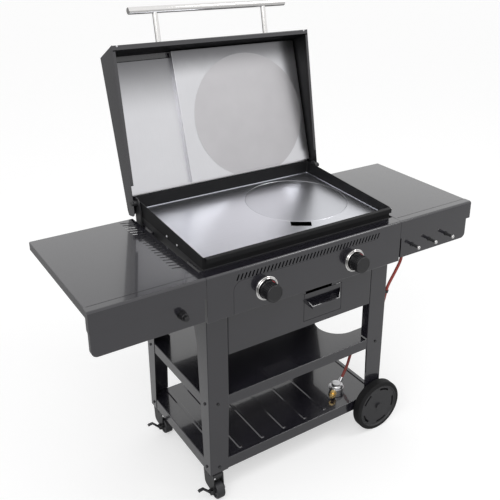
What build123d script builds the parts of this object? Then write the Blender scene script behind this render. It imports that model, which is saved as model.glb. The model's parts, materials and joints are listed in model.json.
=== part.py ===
"""Gas grill on a cart: a tilted griddle plate with a round insert, a lid that
stands open, two burners behind a control panel, a pull-out grease drawer, two
side tables, two shelves, two road wheels and two braked casters."""

import math
import os

from build123d import *

os.makedirs("parts", exist_ok=True)

# Cart sizes in millimetres. Depths are measured back from the front plane of
# the control panel, heights from the floor.
table_height = 855.0
table_width = 348.5
table_depth = 520.0
table_flange = 25.0
table_gap = 15.0
body_width = 730.0
sheet = 1.5
bend = 2.5
corner = 3.0

# Sheet strips and panels along the front
strip_height = 65.0
strip_depth = 32.0
strip_return = 20.0
strip_bend = 8.0
seam_gap = 0.4
lower_panel_height = 76.0
lower_panel_inset = 7.0
lower_panel_return = 15.0
lower_panel_radius = 19.0
panel_height = 152.0
panel_return = 14.0
panel_foot_bend = 4.0
seam = 1.0
field_side = 89.0
field_margin = 40.0
field_raise = 0.8
field_radius = 30.0
vent_pitch = 13.4
vent_length = 19.0
vent_width = 5.0
vent_lean = 23.0
table_vent_pitch = 20.4
table_vent_length = 40.0
table_vent_width = 5.0
table_vent_lean = 20.0

# Legs
leg_front = 38.0
rear_inset = 20.0
leg_width = 74.0
leg_foot_width = 66.0
leg_depth = 68.0
leg_foot_depth = 43.0
leg_gusset = 112.0
leg_gusset_drop = 160.0
leg_return = 36.0
leg_hem = 7.0
shelf_clear = 4.0
bolt_across = 10.0
bolt_head = 3.0

# Shelves, apron and firebox
mid_shelf_top = 391.0
mid_shelf_flange = 38.0
cutout_radius = 84.0
cutout_reach = 90.0
cutout_back = 200.0
bottom_shelf_top = 141.0
bottom_shelf_flange = 41.0
bead_steps = (58.5, 126.5, 215.5, 305.5, 396.5, 485.5)
bead_width = 14.0
bead_height = 3.5
recess_width = 195.0
recess_side = 13.5
recess_corner = 40.0
recess_depth = 5.0
firebox_front = 46.0
firebox_depth_below_table = 115.0
apron_height = 196.0
apron_return = 25.0
apron_bend = 5.0

# Grease drawer
drawer_width = 156.0
drawer_height = 101.0
drawer_drop = 72.0
drawer_gap = 1.5
drawer_frame = 8.0
tray_depth = 280.0
tray_height = 72.0
pull_reach = 27.0
slide_gap = 0.3

# Griddle plate and its round insert
griddle_tilt = 2.0
griddle_overhang = 34.0
griddle_rise = 7.0
griddle_plate = 4.0
griddle_wall = 3.0
griddle_front_wall = 34.0
griddle_back_wall = 48.0
griddle_lip = 12.0
griddle_lip_drop = 15.0
griddle_corner = 6.0
insert_radius = 184.0
insert_thickness = 2.5
insert_side = 199.5
insert_rear = 207.0
insert_gap = 0.3
drain_gap = 2.0
drain_length = 70.0
drain_width = 34.0
drain_bearing = 30.5

# Burners, valves and knobs
burner_x = 174.0
burner_drop = 92.0
burner_radius = 18.0
burner_neck = 11.0
knob_radius = 30.0
knob_reach = 48.0
knob_push = 3.0
knob_gap = 1.0
bezel_radius = 40.0
bezel_height = 7.0
stem_radius = 4.0
running_gap = 0.05
igniter_side = 81.0
igniter_drop = 92.0
igniter_reach = 24.0
igniter_travel = 5.0
hook_steps = (60.5, 145.0, 231.0)
hook_reach = 36.5
hook_drop = 102.0

# Lid: u runs from the hinge to the rim, n runs out through the roof
pivot_inset = 2.0
pivot_rise = 62.0
lid_lean = 11.0
lid_overhang = 20.0
rim_overhang = 22.0
rim_drop = 14.0
front_slope = 35.5
front_height = 103.5
rear_height = 55.0
tail_length = 48.5
rim_flange = 16.0
side_flange = 10.0
liner_gap = 8.0
shield_gap = 26.0
shield_left = -141.0
shield_side = 7.0
disc_x = 137.0
disc_along = 275.0
disc_radius = 230.0
handle_stand = 104.0
handle_n = 10.0
handle_length = 610.0
handle_radius = 12.5
post_x = 212.0
post_radius = 9.0

# Wheels and casters
wheel_radius = 100.5
wheel_width = 35.0
tyre_depth = 14.5
wheel_inset = 26.0
axle_radius = 6.0
web_dish = 3.0
web_pockets = 5
pocket_depth = 12.0
caster_side_inset = 26.0
caster_inset = 28.0
caster_rear_inset = 40.0
caster_trail = 25.0
caster_wheel_radius = 30.0
caster_wheel_width = 29.0

# Places that follow from the sizes above
lean = math.radians(lid_lean)
along_u = Vector(0, math.sin(lean), math.cos(lean))
along_n = Vector(0, math.cos(lean), -math.sin(lean))
leg_rear = table_depth - rear_inset
pivot_back = leg_rear - pivot_inset
rim = (pivot_back + rim_overhang, -rim_drop)
front_crown = (rim[0] - front_slope, front_height)
rear_crown = (-tail_length, rear_height)
tail = (2.5 - tail_length, -2.0)
handle_u = rim[0] + handle_stand
lid_reach = pivot_back + front_crown[0] * along_u.Y + front_crown[1] * along_n.Y
front_y = (knob_reach - lid_reach) / 2
table_top = table_height - sheet
leg_top = table_height - 5.0
half_body = body_width / 2
table_inner = half_body + table_gap
table_outer = table_inner + table_width
half_panel = table_inner - seam
half_shelf = half_body - sheet
field_width = 2 * (half_panel - field_side)
vent_count = round((field_width - 18) / vent_pitch)
table_vent_count = round((table_depth - 132) / table_vent_pitch) + 1
cutout_x = half_body - cutout_reach
griddle_depth = leg_rear + griddle_overhang - firebox_front
insert_x = half_body - insert_side
insert_back = griddle_depth - insert_rear
drain_reach = insert_radius + drain_gap + drain_width / 2
drain_x = insert_x - drain_reach * math.sin(math.radians(drain_bearing))
drain_back = insert_back - drain_reach * math.cos(math.radians(drain_bearing))
igniter_x = table_inner + igniter_side
firebox_floor = table_height - firebox_depth_below_table
apron_bottom = firebox_floor - apron_height
half_apron = half_body - leg_width
burner_z = table_height - burner_drop
manifold_z = burner_z - 28.0
manifold_back = 27.0
lid_half = half_body + lid_overhang
shield_right = lid_half - shield_side
axle_z = wheel_radius
wheel_x = half_body - wheel_inset
wheel_rim = wheel_radius - tyre_depth
caster_x = caster_side_inset - half_body
stem_plate = bottom_shelf_top - bottom_shelf_flange
left_foot = stem_plate - 2.0
right_foot = axle_z - 22.5


def back(distance):
    """World y of a point behind the front plane."""
    return front_y + distance


def at_x(x):
    """Plane across the cart: sketch x is world y, sketch y is world z."""
    return Plane.YZ.offset(x)


def at_y(y):
    """Plane facing the front: sketch x is world x, sketch y is world z."""
    return Plane.XZ.offset(-y)


def at_z(z):
    """Level plane."""
    return Plane.XY.offset(z)


def folded(plane, points, side, radii=bend):
    """Profile of a sheet folded along a line of points."""
    with BuildSketch(plane) as profile:
        with BuildLine():
            FilletPolyline(*points, radius=radii)
            offset(amount=sheet, side=side)
        make_face()
    return profile.sketch


def outline(plane, points):
    """Flat face inside a line of points."""
    with BuildSketch(plane) as face:
        with BuildLine():
            Polyline(*points, close=True)
        make_face()
    return face.sketch


def save(part, name):
    """Label a piece and write its file."""
    part.label = name
    export_step(part, f"parts/{name}.step")


# Legs: folded channels, wider and deeper at the top, where a gusset of the
# side wall carries the table rail
def leg(side, end, foot):
    face_y = back(leg_front) if end < 0 else back(leg_rear)
    outer = side * half_body

    def across(width):
        return outer - side * width

    def deep(depth):
        return face_y - end * depth

    with BuildPart() as post:
        inside = Side.RIGHT if side * end > 0 else Side.LEFT
        bends = (
            (across(leg_width), deep(leg_return)),
            (across(leg_width), deep(0)),
            (across(0), deep(0)),
            (across(0), deep(leg_gusset)),
        )
        extrude(folded(at_z(foot), bends, inside), amount=leg_top - foot)
        # The side wall narrows below the gusset.
        gusset = (
            (deep(leg_gusset + 9), firebox_floor),
            (deep(leg_gusset), firebox_floor),
            (deep(leg_depth), firebox_floor - leg_gusset_drop),
            (deep(leg_foot_depth), foot - 5),
            (deep(leg_gusset + 9), foot - 5),
        )
        waste = outline(at_x(outer + side * 5), gusset)
        extrude(waste, amount=-side * 20, mode=Mode.SUBTRACT)
        # The inner edge tapers below the middle shelf and clears the firebox.
        with BuildSketch(at_y(deep(-5))):
            with BuildLine():
                Polyline(
                    (across(leg_width + 5), mid_shelf_top),
                    (across(leg_width), mid_shelf_top),
                    (across(leg_foot_width), foot - 5),
                    (across(leg_width + 5), foot - 5),
                    close=True,
                )
            make_face()
        extrude(amount=end * (leg_return + 9), mode=Mode.SUBTRACT)
        with BuildSketch(at_y(deep(sheet))):
            with Locations((across(leg_width), (foot + mid_shelf_top + shelf_clear) / 2 - 5)):
                Rectangle(24, mid_shelf_top + shelf_clear - foot + 10)
            with Locations((across(leg_width), firebox_floor + 100)):
                Rectangle(24, 200)
        extrude(amount=end * (leg_return + 9), mode=Mode.SUBTRACT)
        # A short hem runs down the tapered edge between the shelves.
        low = bottom_shelf_top + shelf_clear
        high = mid_shelf_top - mid_shelf_flange - 2
        slope = (leg_width - leg_foot_width) / (mid_shelf_top - foot + 5)

        def edge(z, inset):
            return (across(leg_width - slope * (mid_shelf_top - z) - inset), z)

        hem = (edge(low, 0), edge(high, 0), edge(high, sheet), edge(low, sheet))
        extrude(outline(at_y(deep(0)), hem), amount=end * leg_hem)
        if side > 0:
            with BuildSketch(at_y(deep(-1))):
                with Locations((wheel_x, axle_z)):
                    Circle(axle_radius + running_gap)
            extrude(amount=end * (sheet + 2), mode=Mode.SUBTRACT)
    return post.part


save(leg(-1, -1, left_foot), "front_left_leg")
save(leg(1, -1, right_foot), "front_right_leg")
save(leg(-1, 1, left_foot), "rear_left_leg")
save(leg(1, 1, right_foot), "rear_right_leg")

# Shelves: trays with turned-down edges that sit inside the legs
shelf_front = back(leg_front + sheet)
shelf_depth = leg_rear - leg_front - 2 * sheet
shelf_middle = shelf_front + shelf_depth / 2

with BuildPart() as mid_shelf:
    with BuildSketch(at_z(mid_shelf_top)):
        with Locations((0, shelf_middle)):
            RectangleRounded(2 * half_shelf, shelf_depth, corner)
    extrude(amount=-mid_shelf_flange)
    fillet(mid_shelf.faces().sort_by(Axis.Z)[-1].edges(), radius=bend)
    offset(amount=-sheet, openings=mid_shelf.faces().sort_by(Axis.Z)[0])
    # A bay for the gas bottle's neck opens to the right-hand edge.
    with BuildSketch(at_z(mid_shelf_top + 1)):
        with Locations((cutout_x, back(cutout_back))):
            Circle(cutout_radius)
        with Locations(((cutout_x + half_body) / 2, back(cutout_back))):
            Rectangle(half_body - cutout_x, 2 * cutout_radius)
    extrude(amount=-mid_shelf_flange - 2, mode=Mode.SUBTRACT)
save(mid_shelf.part, "mid_shelf")

bead_places = [(step - half_shelf, shelf_middle) for step in bead_steps]
recess_middle = (half_shelf - recess_side - recess_width / 2, shelf_middle)
recess_length = shelf_depth - 31.0
with BuildPart() as bottom_shelf:
    with BuildSketch(at_z(bottom_shelf_top)):
        with Locations((0, shelf_middle)):
            RectangleRounded(2 * half_shelf, shelf_depth, corner)
    extrude(amount=-bottom_shelf_flange)
    fillet(bottom_shelf.faces().sort_by(Axis.Z)[-1].edges(), radius=bend)
    offset(amount=-sheet, openings=bottom_shelf.faces().sort_by(Axis.Z)[0])
    # Pressed beads stiffen the left part of the shelf.
    with BuildSketch(at_z(bottom_shelf_top)):
        with Locations(bead_places):
            SlotOverall(shelf_depth - 34, bead_width, rotation=90)
    extrude(amount=bead_height, taper=40)
    # A shallow pan takes the foot of the gas bottle.
    with BuildSketch(at_z(bottom_shelf_top)):
        with Locations(recess_middle):
            RectangleRounded(recess_width, recess_length, recess_corner)
    extrude(amount=-recess_depth)
    with BuildSketch(at_z(bottom_shelf_top + 1)):
        with Locations(recess_middle):
            inner = recess_length - 2 * sheet
            RectangleRounded(recess_width - 2 * sheet, inner, recess_corner - sheet)
    extrude(amount=-recess_depth - 1 + sheet, mode=Mode.SUBTRACT)
    # Notches in the turned-down edges let the axle through.
    with BuildSketch(at_y(shelf_front - 1)):
        with Locations((wheel_x, axle_z)):
            Circle(axle_radius + 1.5)
    extrude(amount=-shelf_depth - 2, mode=Mode.SUBTRACT)
save(bottom_shelf.part, "bottom_shelf")

# Apron under the control panel, with the drawer's opening
drawer_top = firebox_floor - drawer_drop
drawer_bottom = drawer_top - drawer_height
drawer_middle = (drawer_width / 2, (drawer_top + drawer_bottom) / 2)


def apron(face_y, end, opening):
    with BuildPart() as panel:
        with BuildSketch(at_y(face_y)):
            with Locations((0, (firebox_floor + apron_bottom) / 2)):
                Rectangle(2 * half_apron, apron_height)
        extrude(amount=end * apron_return)
        face = panel.faces().sort_by(Axis.Y)[0 if end < 0 else -1]
        fillet(face.edges().filter_by(Axis.Z), radius=apron_bend)
        behind = panel.faces().sort_by(Axis.Y)[-1 if end < 0 else 0]
        above = panel.faces().sort_by(Axis.Z)[-1]
        offset(amount=-sheet, openings=[behind, above])
        if opening:
            with BuildSketch(at_y(face_y - 1)):
                with Locations(drawer_middle):
                    Rectangle(drawer_width + 2 * drawer_gap, drawer_height + 2 * drawer_gap)
                with Locations((drawer_width / 2 - 19, drawer_top + 6)):
                    Rectangle(drawer_width - 48, 10)
            extrude(amount=-sheet - 2, mode=Mode.SUBTRACT)
            # The opening's edges turn in at both sides and below.
            half_opening = drawer_width / 2 + drawer_gap
            reach = half_opening + sheet / 2
            sides = [(drawer_width / 2 + turn * reach, drawer_middle[1]) for turn in (-1, 1)]
            with BuildSketch(at_y(face_y)):
                with Locations(sides):
                    Rectangle(sheet, drawer_height + 2 * drawer_gap)
                with Locations((drawer_width / 2, drawer_bottom - drawer_gap - sheet / 2)):
                    Rectangle(2 * half_opening + 2 * sheet, sheet)
            extrude(amount=-drawer_frame)
    return panel.part


save(apron(back(leg_front), -1, True), "front_apron")
save(apron(back(leg_rear), 1, False), "rear_panel")

# Griddle frame: origin on the plate's upper face at the front wall
tilt = math.radians(griddle_tilt)
griddle_origin = (0, back(firebox_front), table_height + griddle_rise)
griddle_frame = Plane(griddle_origin, x_dir=(1, 0, 0), z_dir=(0, -math.sin(tilt), math.cos(tilt)))


def griddle_side(x):
    """Plane across the griddle: sketch x runs back along the plate."""
    near = griddle_frame.from_local_coords((x, 0, 0))
    return Plane(near, x_dir=griddle_frame.y_dir, z_dir=(1, 0, 0))


# Firebox: an open tub whose rim carries the griddle
firebox_depth = leg_rear - sheet - firebox_front
drain_middle = (drain_x, back(firebox_front + drain_back))
with BuildPart() as firebox:
    with BuildSketch(at_z(firebox_floor)):
        with Locations((0, back(firebox_front) + firebox_depth / 2)):
            RectangleRounded(2 * half_shelf, firebox_depth, corner)
    extrude(amount=firebox_depth_below_table + 60)
    offset(amount=-sheet, openings=firebox.faces().sort_by(Axis.Z)[-1])
    split(bisect_by=griddle_frame.offset(-griddle_plate), keep=Keep.BOTTOM)
    # Grease drops through the floor into the drawer.
    with BuildSketch(at_z(firebox_floor - 1)):
        with Locations(drain_middle):
            RectangleRounded(drain_length + 20, drain_length, 12)
    extrude(amount=sheet + 2, mode=Mode.SUBTRACT)
    # The burner necks come in through the front wall.
    with BuildSketch(at_y(back(firebox_front - 1))):
        with Locations((-burner_x, burner_z), (burner_x, burner_z)):
            Circle(burner_neck + 0.3)
    extrude(amount=-sheet - 2, mode=Mode.SUBTRACT)
save(firebox.part, "firebox")

# Control panel: folded top and bottom edges, a raised field and a row of vents
with BuildPart() as control_panel:
    panel_bottom = table_height - panel_height
    bends = (
        (back(firebox_front), table_height),
        (back(0), table_height),
        (back(0), panel_bottom),
        (back(panel_return), panel_bottom),
    )
    profile = folded(at_x(-half_panel), bends, Side.LEFT, [strip_bend, panel_foot_bend])
    extrude(profile, amount=2 * half_panel)
    for end in (-1, 1):
        with BuildSketch(at_x(end * half_panel)):
            with Locations((back(panel_return / 2), table_height - panel_height / 2)):
                RectangleRounded(panel_return, panel_height, panel_return / 2 - 0.5)
        extrude(amount=-end * sheet)
    with BuildSketch(at_y(back(0))):
        field_top = table_height - field_margin
        with Locations((0, (field_top + panel_bottom) / 2 + 2)):
            field = Rectangle(field_width, field_top - panel_bottom - 4)
        fillet(field.vertices().group_by(Axis.Y)[-1], radius=field_radius)
    extrude(amount=field_raise)
    with BuildSketch(at_y(back(-2))):
        with Locations((0, table_height - 27.5)):
            with GridLocations(vent_pitch, 1, vent_count, 1):
                Rectangle(vent_width, vent_length / math.cos(math.radians(vent_lean)), rotation=-vent_lean)
        with Locations((-burner_x, burner_z), (burner_x, burner_z)):
            Circle(stem_radius + 4)
    extrude(amount=-sheet - 3, mode=Mode.SUBTRACT)
save(control_panel.part, "control_panel")


# Side tables: trays with turned-down edges and a row of slanted vents
def table(side):
    middle = side * (table_inner + table_width / 2)
    seam = strip_depth + seam_gap
    with BuildPart() as tray:
        with BuildSketch(at_z(table_height)):
            with Locations((middle, back((table_depth + seam) / 2))):
                Rectangle(table_width, table_depth - seam)
        extrude(amount=-table_flange - sheet)
        fillet(tray.edges().filter_by(Axis.Z).group_by(Axis.Y)[-1], radius=4)
        rim_edges = tray.faces().sort_by(Axis.Z)[-1].edges()
        fillet(rim_edges.sort_by(Axis.Y)[1:], radius=bend)
        # The front edge steps down, so that the strip's flange lies flush.
        with BuildSketch(at_z(table_top)):
            with Locations((middle, back((seam + sheet) / 2))):
                Rectangle(table_width, seam - sheet)
        extrude(amount=-table_flange)
        front_edges = tray.edges().filter_by(Axis.X).group_by(Axis.Y)[0]
        fillet(front_edges.sort_by(Axis.Z)[-1], radius=strip_bend)
        with BuildSketch(at_z(table_top)):
            with Locations((middle, back((table_depth + seam) / 2))):
                Rectangle(table_width - 2 * sheet, table_depth - seam - 2 * sheet)
        extrude(amount=-table_flange - sheet, mode=Mode.SUBTRACT)
        with BuildSketch(at_z(table_top - sheet)):
            with Locations((middle, back((seam + 3 * sheet) / 2))):
                Rectangle(table_width - 2 * sheet, seam - sheet)
        extrude(amount=-table_flange, mode=Mode.SUBTRACT)
        with BuildSketch(at_z(table_height + 1)):
            vents = (side * (table_inner + 35), back((table_depth + 76) / 2))
            with Locations(vents):
                with GridLocations(1, table_vent_pitch, 1, table_vent_count):
                    Rectangle(table_vent_length, table_vent_width, rotation=side * table_vent_lean)
        extrude(amount=-sheet - 2, mode=Mode.SUBTRACT)
    return tray.part


save(table(-1), "left_table")
save(table(1), "right_table")


# Front strips: a top flange laps over the table and a return closes the end
def fascia(side):
    with BuildPart() as strip:
        bends = (
            (back(strip_depth), table_height),
            (back(0), table_height),
            (back(0), table_height - strip_height),
        )
        start = at_x(side * table_inner)
        profile = folded(start, bends, Side.LEFT, strip_bend)
        extrude(profile, amount=side * (table_width + sheet))
        with BuildSketch(at_x(side * (table_outer + sheet))):
            with Locations((back(strip_return / 2), table_height - strip_height / 2)):
                RectangleRounded(strip_return, strip_height, strip_bend)
        extrude(amount=-side * sheet)
    return strip.part


save(fascia(-1), "left_fascia")
save(fascia(1), "right_fascia")


# Lower panels: shallow boxes that start behind the strips
def lower_panel(side):
    bottom = table_height - strip_height - lower_panel_height
    top = table_top - table_flange - 2
    inner = side * (table_inner + lower_panel_inset)
    outer = side * table_outer if side < 0 else side * (table_outer - lower_panel_return)
    with BuildPart() as panel:
        with BuildSketch(at_y(back(sheet))):
            with Locations(((inner + outer) / 2, (top + bottom) / 2)):
                face = Rectangle(abs(outer - inner), top - bottom)
            outer_foot = face.vertices().group_by(Axis.Y)[0].sort_by(Axis.X)[0 if side < 0 else -1]
            fillet(outer_foot, radius=lower_panel_radius)
        extrude(amount=-lower_panel_return)
        offset(amount=-sheet, openings=panel.faces().sort_by(Axis.Y)[-1])
        if side < 0:
            with BuildSketch(at_y(back(0))):
                with Locations((-igniter_x, table_height - igniter_drop)):
                    Circle(10 + running_gap)
            extrude(amount=-5, mode=Mode.SUBTRACT)
    return panel.part


save(lower_panel(-1), "left_lower_panel")
save(lower_panel(1), "right_lower_panel")

# Rails: square tubes from the legs out under the tables
rail_top = table_top - table_flange
with BuildPart() as table_rails:
    for side in (-1, 1):
        for depth in (leg_front + 32, leg_rear - 85):
            with BuildSketch(at_x(side * half_body)):
                with Locations((back(depth), rail_top - 30)):
                    Rectangle(44, 60)
            extrude(amount=side * 3)
            with BuildSketch(at_x(side * (half_body + 3))):
                with Locations((back(depth), rail_top - 11)):
                    Rectangle(30, 22)
                    Rectangle(26, 18, mode=Mode.SUBTRACT)
            extrude(amount=side * (table_width - 45))
save(table_rails.part, "table_rails")


# Burners: ported tubes with a neck at the front and a support pin behind
def burner(x):
    with BuildPart() as tube:
        with BuildSketch(at_y(back(firebox_front + 8))):
            with Locations((x, burner_z)):
                Circle(burner_radius)
        tube_length = firebox_depth - 67.5
        extrude(amount=-tube_length)
        with BuildSketch(at_y(back(firebox_front - 6))):
            with Locations((x, burner_z)):
                Circle(burner_neck)
        extrude(amount=-20)
        fillet(tube.faces().filter_by(Axis.Y).edges().group_by(SortBy.RADIUS)[-1], radius=4)
        with BuildSketch(at_y(back(firebox_front - 6))):
            with Locations((x, burner_z)):
                Circle(burner_neck - 2.5)
        extrude(amount=-60, mode=Mode.SUBTRACT)
        pin_start = tube_length + 5
        with BuildSketch(at_y(back(firebox_front + pin_start))):
            with Locations((x, burner_z)):
                Circle(6)
        extrude(amount=-(firebox_depth - sheet - pin_start))
        with BuildSketch(at_z(burner_z + burner_radius + 1)):
            with Locations((x, back(firebox_front + 12 + tube_length / 2))):
                with GridLocations(1, 20, 1, round((tube_length - 45) / 20)):
                    Rectangle(16, 3)
        extrude(amount=-6, mode=Mode.SUBTRACT)
    return tube.part


save(burner(-burner_x), "left_burner")
save(burner(burner_x), "right_burner")

# Gas rail along the back of the control panel, with an elbow at the right
elbow_x = table_inner + 40
with BuildPart() as gas_manifold:
    with BuildSketch(at_x(-burner_x - 22)):
        with Locations((back(manifold_back), manifold_z)):
            Circle(8)
    extrude(amount=elbow_x + burner_x + 22)
    with BuildSketch(at_z(manifold_z + 12)):
        with Locations((-burner_x, back(manifold_back)), (burner_x, back(manifold_back))):
            Rectangle(24, 18)
        with Locations((elbow_x, back(manifold_back))):
            Circle(9)
    extrude(amount=-24)
    with BuildSketch(at_z(manifold_z - 12)):
        with Locations((elbow_x, back(manifold_back))):
            Circle(7.5)
    extrude(amount=-7)
save(gas_manifold.part, "gas_manifold")

with BuildPart() as gas_valves:
    for x in (-burner_x, burner_x):
        with BuildSketch(at_y(back(sheet))):
            with Locations((x, burner_z)):
                Circle(13)
        extrude(amount=-34)
        with BuildSketch(at_z(manifold_z + 12)):
            with Locations((x, back(manifold_back))):
                Rectangle(16, 14)
        extrude(amount=burner_z - manifold_z - 12)
        with BuildSketch(at_y(back(sheet + 34))):
            with Locations((x, burner_z)):
                Circle(3.5)
        extrude(amount=-14)
        with BuildSketch(at_y(back(sheet))):
            with Locations((x, burner_z)):
                Circle(stem_radius + running_gap)
        extrude(amount=-13 - knob_push - knob_gap, mode=Mode.SUBTRACT)
save(gas_valves.part, "gas_valves")

# Knob bezels, knobs and valve stems
knob_face = back(-field_raise)
with BuildPart() as knob_bezels:
    with BuildSketch(at_y(knob_face)):
        with Locations((-burner_x, burner_z), (burner_x, burner_z)):
            Circle(bezel_radius)
    extrude(amount=bezel_height)
    fillet(knob_bezels.faces().sort_by(Axis.Y)[:2].edges(), radius=5)
    with BuildSketch(at_y(knob_face)):
        with Locations((-burner_x, burner_z), (burner_x, burner_z)):
            Circle(knob_radius + 2)
    extrude(amount=bezel_height, mode=Mode.SUBTRACT)
save(knob_bezels.part, "knob_bezels")


def knob(x):
    with BuildPart() as cap:
        # The cap stands off the panel by its push and turns on the stem.
        stand_off = knob_push + knob_gap
        with BuildSketch(at_y(knob_face - stand_off)):
            with Locations((x, burner_z)):
                Circle(knob_radius)
        extrude(amount=knob_reach - field_raise - stand_off, taper=2)
        fillet(cap.faces().sort_by(Axis.Y)[0].edges(), radius=3)
        with BuildSketch(at_y(knob_face)):
            with Locations((x, burner_z)):
                Circle(stem_radius + running_gap)
        extrude(amount=26, mode=Mode.SUBTRACT)
    return cap.part


def valve_stem(x):
    with BuildPart() as stem:
        with BuildSketch(at_y(knob_face - 26)):
            with Locations((x, burner_z)):
                Circle(stem_radius)
        extrude(amount=-26 - field_raise - sheet - 12)
    return stem.part


save(knob(-burner_x), "left_knob")
save(knob(burner_x), "right_knob")
save(valve_stem(-burner_x), "left_valve_stem")
save(valve_stem(burner_x), "right_valve_stem")

# Igniter in the left lower panel
igniter_z = table_height - igniter_drop
with BuildPart() as igniter_housing:
    for radius, length in ((14.5, 3), (12, igniter_reach)):
        with BuildSketch(at_y(back(sheet))):
            with Locations((-igniter_x, igniter_z)):
                Circle(radius)
        extrude(amount=length)
    fillet(igniter_housing.faces().sort_by(Axis.Y)[0].edges(), radius=2)
    with BuildSketch(at_y(back(sheet))):
        with Locations((-igniter_x, igniter_z)):
            Circle(10)
    extrude(amount=-32)
    with BuildSketch(at_y(back(-igniter_reach - 1))):
        with Locations((-igniter_x, igniter_z)):
            Circle(8 + running_gap)
    extrude(amount=-igniter_reach - 18, mode=Mode.SUBTRACT)
save(igniter_housing.part, "igniter_housing")

with BuildPart() as igniter_button:
    with BuildSketch(at_y(back(8))):
        with Locations((-igniter_x, igniter_z)):
            Circle(8)
    extrude(amount=igniter_reach + 16)
    fillet(igniter_button.faces().sort_by(Axis.Y)[0].edges(), radius=1.5)
save(igniter_button.part, "igniter_button")

# Tool hooks on the right lower panel
with BuildPart() as tool_hooks:
    places = [(table_inner + step, table_height - hook_drop) for step in hook_steps]
    for radius, start, length in ((8, sheet, 3), (5, sheet, hook_reach), (6, sheet - hook_reach + 5, 5)):
        with BuildSketch(at_y(back(start))):
            with Locations(places):
                Circle(radius)
        extrude(amount=length)
    fillet(tool_hooks.faces().sort_by(Axis.Y)[:3].edges(), radius=2)
save(tool_hooks.part, "tool_hooks")

# Griddle: a pan with sloping side walls, a rolled front lip, a grease slot and
# a round seat for the insert
half_griddle = half_body
with BuildPart() as griddle_pan:
    wall_line = (
        (0, -griddle_plate),
        (griddle_depth, -griddle_plate),
        (griddle_depth, griddle_back_wall),
        (0, griddle_front_wall),
    )
    extrude(outline(griddle_side(-half_griddle), wall_line), amount=body_width)
    upright = Axis(griddle_origin, griddle_frame.z_dir)
    fillet(griddle_pan.edges().filter_by(upright), radius=griddle_corner)
    with BuildSketch(griddle_frame):
        with Locations((0, griddle_depth / 2)):
            RectangleRounded(
                body_width - 2 * griddle_wall,
                griddle_depth - 2 * griddle_wall,
                griddle_corner - griddle_wall,
            )
    extrude(amount=griddle_back_wall + 10, mode=Mode.SUBTRACT)
    rim_face = griddle_pan.faces().sort_by(Axis.Z)[-1]
    fillet(rim_face.edges(), radius=1.0)
    lip = (
        (griddle_wall, griddle_front_wall),
        (-griddle_lip, griddle_front_wall),
        (-griddle_lip, griddle_front_wall - griddle_lip_drop),
    )
    lip_start = griddle_side(griddle_corner - half_griddle)
    extrude(folded(lip_start, lip, Side.LEFT), amount=body_width - 2 * griddle_corner)
    with BuildSketch(griddle_frame.offset(1)):
        with Locations((insert_x, insert_back)):
            Circle(insert_radius + insert_gap)
    extrude(amount=-insert_thickness - 1, mode=Mode.SUBTRACT)
    with BuildSketch(griddle_frame.offset(1)):
        with Locations((drain_x, drain_back)):
            RectangleRounded(drain_length, drain_width, 3, rotation=-drain_bearing)
    extrude(amount=-griddle_plate - 2, mode=Mode.SUBTRACT)
    seat_edge = griddle_pan.edges().filter_by(GeomType.CIRCLE)
    seat_edge = seat_edge.filter_by(lambda edge: edge.radius > 100).sort_by(Axis.Z)[-1]
    chamfer(seat_edge, length=0.8)
save(griddle_pan.part, "griddle_pan")

with BuildPart() as round_insert:
    with BuildSketch(griddle_frame.offset(-insert_thickness)):
        with Locations((insert_x, insert_back)):
            Circle(insert_radius)
    extrude(amount=insert_thickness)
    chamfer(round_insert.edges().sort_by(Axis.Z)[-1], length=0.8)
save(round_insert.part, "round_insert")


# Lid: u and n are measured from the hinge pin, with the lid standing open
pivot = Vector(0, back(pivot_back), table_height + pivot_rise)


def lid_side(x):
    """Plane across the lid: sketch x is u, sketch y is n turned over."""
    return Plane(pivot + Vector(x, 0, 0), x_dir=along_u, z_dir=(1, 0, 0))


def un(point):
    return (point[0], -point[1])


roof_run = Vector(front_crown[0] - rear_crown[0], front_crown[1] - rear_crown[1])
roof_length = roof_run.length
roof_dir = roof_run.normalized()
roof_along = along_u * roof_dir.X + along_n * roof_dir.Y
roof_in = along_u * roof_dir.Y - along_n * roof_dir.X
roof_start = pivot + along_u * rear_crown[0] + along_n * rear_crown[1]


def roof_point(along, depth):
    """Side-sketch point at a distance along the roof and a depth inside it."""
    u = rear_crown[0] + roof_dir.X * along + roof_dir.Y * depth
    n = rear_crown[1] + roof_dir.Y * along - roof_dir.X * depth
    return (u, -n)


with BuildPart() as lid_top:
    drop = Vector(rim[0] - tail[0], rim[1] - tail[1]).normalized()
    hem_end = (rim[0] - drop.X * rim_flange, rim[1] - drop.Y * rim_flange)
    bends = [un(hem_end), un(rim), un(front_crown), un(rear_crown), un((-45.5, 47.0))]
    half_roof = lid_half - sheet
    extrude(folded(lid_side(-half_roof), bends, Side.RIGHT), amount=2 * half_roof)
save(lid_top.part, "lid_top")


def lid_cheek(side):
    with BuildPart() as cheek:
        with BuildSketch(lid_side(side * lid_half)) as profile:
            with BuildLine():
                Polyline(un(rim), un(front_crown), un(rear_crown), un(tail), close=True)
            make_face()
            fillet(profile.vertices().sort_by(Axis.X)[:2], radius=20)
            with Locations((0, 0)):
                Circle(5 + running_gap, mode=Mode.SUBTRACT)
        extrude(amount=-side * sheet)
        # The rim is turned in along the opening, ahead of the hinge.
        slope = (rim[1] - tail[1]) / (rim[0] - tail[0])

        def rim_line(u, inset):
            return un((u, tail[1] + slope * (u - tail[0]) + inset))

        turned = (rim_line(60, 0), rim_line(500, 0), rim_line(500, sheet), rim_line(60, sheet))
        extrude(outline(lid_side(side * lid_half), turned), amount=-side * side_flange)
    return cheek.part


save(lid_cheek(-1), "lid_left_side")
save(lid_cheek(1), "lid_right_side")

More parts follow.
